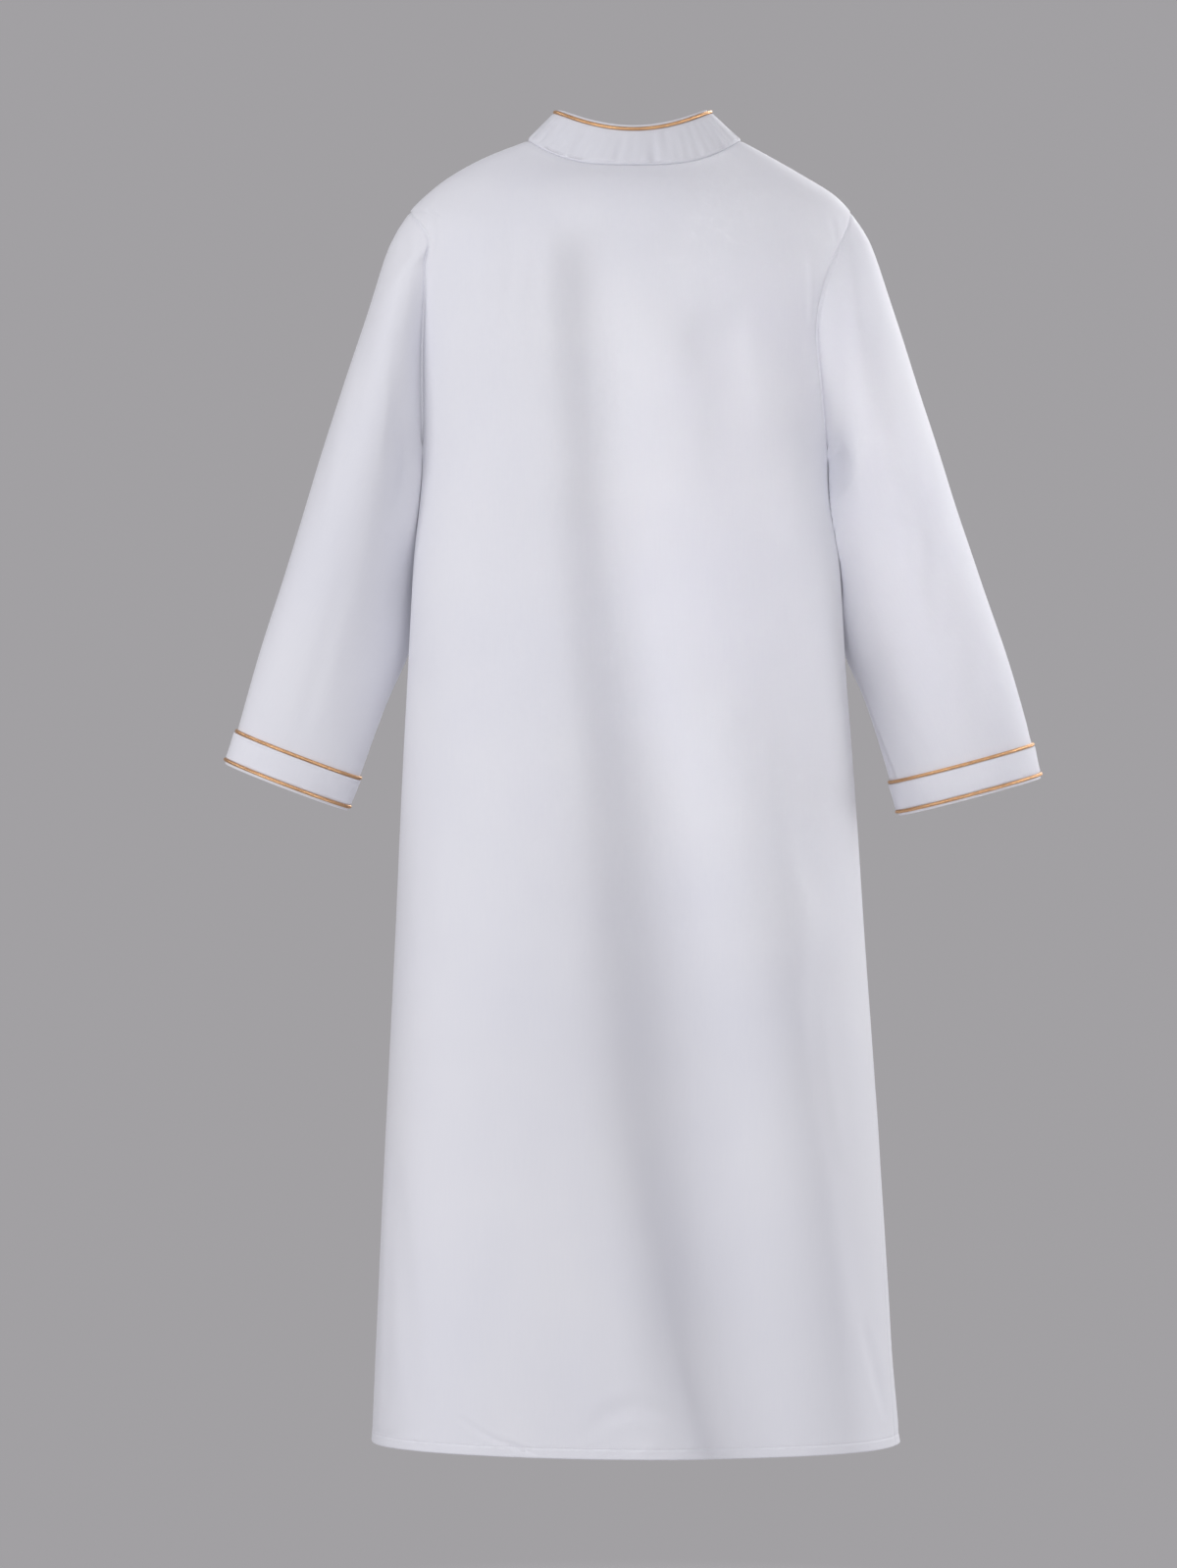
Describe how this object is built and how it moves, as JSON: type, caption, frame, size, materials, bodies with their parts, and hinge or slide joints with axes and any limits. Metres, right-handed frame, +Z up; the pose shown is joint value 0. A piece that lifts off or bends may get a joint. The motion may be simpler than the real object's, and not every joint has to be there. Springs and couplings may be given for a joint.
{
  "type": "thobe robe",
  "caption": "Long straight white robe with a standing band collar, long set-in sleeves, band cuffs and gold cord piping, in the hollow form it has when worn.",
  "frame": {"origin": "middle of the neck, level with the two points where the collar and shoulder seams meet, where a wearer's neck and shoulders hold the robe up", "axes": "+Z up along the robe's length, front faces -Y, the wearer's left side is +X"},
  "size_m": [0.8778, 0.3389, 1.4129],
  "materials": {
    "robe_cloth": "smooth white satin weave with a soft sheen",
    "gold_cord": "twisted satin cord, copper gold",
    "button": "plain white, smooth"
  },
  "bodies": {
    "root": {"back": "robe_cloth", "front": "robe_cloth", "placket": "robe_cloth", "sleeve_left": "robe_cloth", "sleeve_right": "robe_cloth", "cuff_left": "robe_cloth", "cuff_right": "robe_cloth", "collar": "robe_cloth", "piping_collar": "gold_cord", "piping_cuff_left_upper": "gold_cord", "piping_cuff_left_lower": "gold_cord", "piping_cuff_right_upper": "gold_cord", "piping_cuff_right_lower": "gold_cord", "button_1": "button", "button_2": "button", "button_3": "button", "button_4": "button"}
  },
  "joints": []
}
